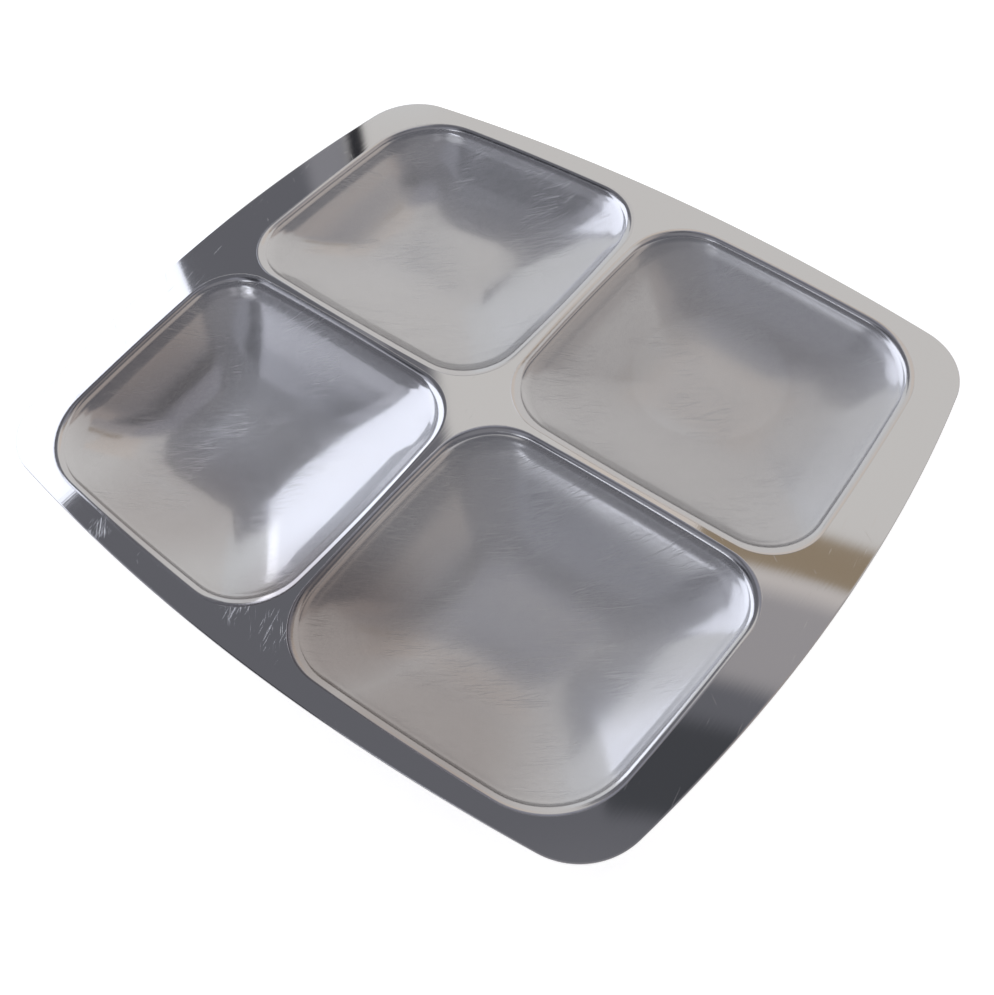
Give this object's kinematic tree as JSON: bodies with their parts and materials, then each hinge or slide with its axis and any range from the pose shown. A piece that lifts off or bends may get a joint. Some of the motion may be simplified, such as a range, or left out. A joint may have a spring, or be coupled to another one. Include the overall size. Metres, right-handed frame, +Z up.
{
  "type": "divided compartment plate",
  "caption": "Shallow rectangular steel serving plate with bowed sides, a flat bright rim and square satin wells that keep foods apart.",
  "frame": {"origin": "middle of the plate's footprint, on the surface that the well floors stand on", "axes": "+X along the plate's length, towards a wide rim; +Y across it, towards a narrow rim; +Z up"},
  "size_m": [0.29, 0.252, 0.0142],
  "materials": {
    "bright_steel": "bright rolled stainless steel, near mirror, lightly scratched",
    "satin_steel": "drawn stainless steel, soft satin with fine hairline wear"
  },
  "bodies": {
    "root": {"rim_frame": "bright_steel", "rear_right_well": "satin_steel", "rear_left_well": "satin_steel", "front_left_well": "satin_steel", "front_right_well": "satin_steel"}
  },
  "joints": []
}
